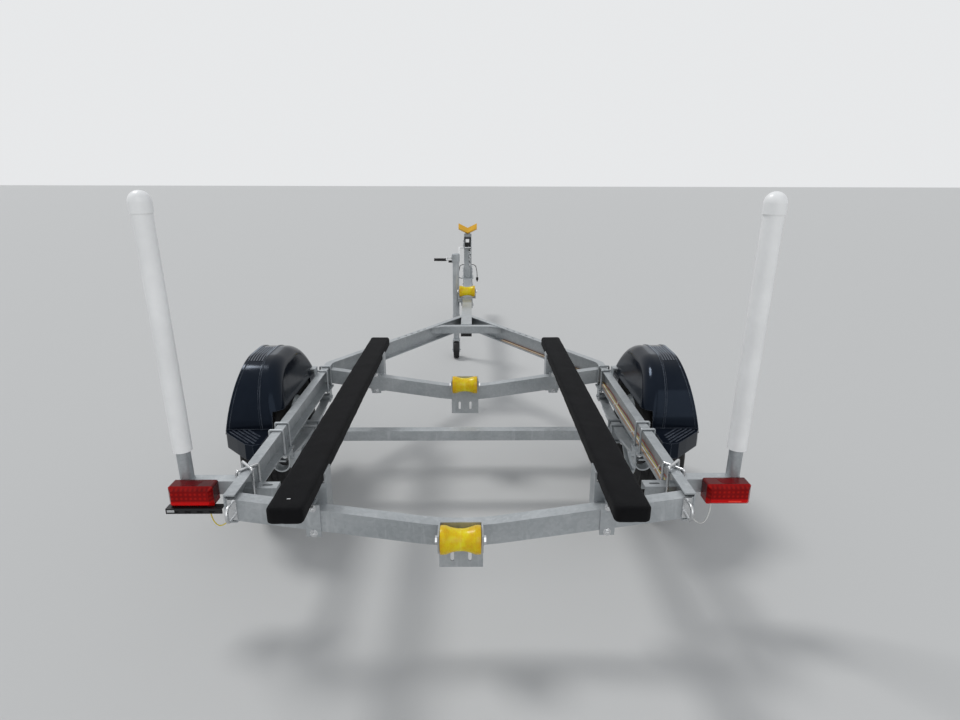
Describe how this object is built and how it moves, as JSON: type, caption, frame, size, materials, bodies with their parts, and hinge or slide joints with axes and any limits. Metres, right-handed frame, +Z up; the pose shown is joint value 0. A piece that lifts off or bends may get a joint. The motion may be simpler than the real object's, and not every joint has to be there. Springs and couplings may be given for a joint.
{
  "type": "boat trailer",
  "caption": "Galvanised bunk boat trailer with keel rollers, guide posts, winch stand and a swing-up tongue jack.",
  "frame": {"origin": "on the ground, midway along and across the trailer", "axes": "+X to the right, +Y forwards to the coupler, +Z up"},
  "size_m": [2.0974, 5.79, 1.5297],
  "materials": {
    "galvanised": "hot-dip galvanised, dull",
    "bright_steel": "bright zinc plate",
    "wheel_steel": "silver paint",
    "tyre": "matt",
    "black_plastic": "matt",
    "gloss_black": "gloss",
    "white_pvc": "satin",
    "red_lens": "gloss",
    "carpet": "looped carpet",
    "yellow_roller": "gloss",
    "amber_rubber": "satin",
    "black_strap": "webbing",
    "black_wire": "satin",
    "white_wire": "satin",
    "yellow_wire": "satin"
  },
  "bodies": {
    "frame": {"rail_right": "galvanised", "rail_left": "galvanised", "rear_crossmember": "galvanised", "front_crossmember": "galvanised", "crosspiece": "galvanised", "tongue": "galvanised", "tongue_tail_plug": "black_plastic", "coupler": "galvanised", "axle": "galvanised", "leaf_springs": "galvanised", "spring_hangers": "galvanised", "spring_seats": "galvanised", "fender_right": "gloss_black", "fender_left": "gloss_black", "fender_arms": "galvanised", "guide_bars": "galvanised", "bar_clamps": "bright_steel", "post_pipes": "galvanised", "post_sleeves": "white_pvc", "post_caps": "white_pvc", "lamp_housings": "red_lens", "lamp_lenses": "red_lens", "plate_holder": "black_plastic", "bunk_right": "carpet", "bunk_left": "carpet", "bunk_angles": "galvanised", "roller_brackets": "galvanised", "winch_stand": "galvanised", "winch_frame": "galvanised", "bow_stop": "amber_rubber", "jack_mount": "galvanised", "tie_down_eyes": "bright_steel", "strap_hook": "bright_steel", "safety_chain": "bright_steel", "harness_left": "black_wire", "harness_right": "black_wire", "harness_plug": "black_plastic", "lamp_wire_right": "white_wire", "lamp_wire_left": "yellow_wire"},
    "left_wheel": {"tyre_left": "tyre", "rim_left": "wheel_steel", "hub_left": "galvanised"},
    "right_wheel": {"tyre_right": "tyre", "rim_right": "wheel_steel", "hub_right": "galvanised"},
    "jack": {"jack_tube": "galvanised", "jack_crank": "bright_steel", "jack_grip": "black_plastic"},
    "jack_leg": {"jack_leg": "galvanised"},
    "caster": {"caster_fork": "galvanised"},
    "caster_roller": {"caster_wheel": "black_plastic"},
    "winch_spool": {"winch_drum": "black_strap"},
    "winch_handle": {"winch_crank": "bright_steel", "winch_grip": "black_plastic"},
    "rear_keel_roller": {"rear_roller": "yellow_roller"},
    "front_keel_roller": {"front_roller": "yellow_roller"},
    "tongue_keel_roller": {"tongue_roller": "yellow_roller"}
  },
  "joints": [
    {"name": "left_wheel_roll", "type": "hinge", "parent": "frame", "child": "left_wheel", "pos_m": [-0.915, -1.63, 0.3325], "axis": [1, 0, 0], "continuous": true},
    {"name": "right_wheel_roll", "type": "hinge", "parent": "frame", "child": "right_wheel", "pos_m": [0.915, -1.63, 0.3325], "axis": [1, 0, 0], "continuous": true},
    {"name": "jack_swing", "type": "hinge", "parent": "frame", "child": "jack", "pos_m": [-0.0986, 0.92, 0.53], "axis": [-1, 0, 0], "range_deg": [0, 90]},
    {"name": "jack_extend", "type": "slide", "parent": "jack", "child": "jack_leg", "axis": [0, 0, -1], "range_m": [-0.16, 0.09]},
    {"name": "caster_swivel", "type": "hinge", "parent": "jack_leg", "child": "caster", "pos_m": [-0.0986, 0.92, 0.168], "axis": [0, 0, 1], "continuous": true},
    {"name": "caster_roll", "type": "hinge", "parent": "caster", "child": "caster_roller", "pos_m": [-0.0986, 0.882, 0.076], "axis": [1, 0, 0], "continuous": true},
    {"name": "winch_drum_turn", "type": "hinge", "parent": "frame", "child": "winch_spool", "pos_m": [0, 1.8099, 0.93], "axis": [1, 0, 0], "continuous": true},
    {"name": "winch_crank_turn", "type": "hinge", "parent": "frame", "child": "winch_handle", "pos_m": [0, 1.7839, 0.887], "axis": [1, 0, 0], "continuous": true},
    {"name": "rear_roller_turn", "type": "hinge", "parent": "frame", "child": "rear_keel_roller", "pos_m": [0, -2.741, 0.436], "axis": [1, 0, 0], "continuous": true},
    {"name": "front_roller_turn", "type": "hinge", "parent": "frame", "child": "front_keel_roller", "pos_m": [0, -1.3064, 0.482], "axis": [1, 0, 0], "continuous": true},
    {"name": "tongue_roller_turn", "type": "hinge", "parent": "frame", "child": "tongue_keel_roller", "pos_m": [0, 0.77, 0.626], "axis": [1, 0, 0], "continuous": true}
  ],
  "couplings": [
    {"joint": "winch_crank_turn", "follows": "winch_drum_turn", "ratio": -3.2}
  ]
}
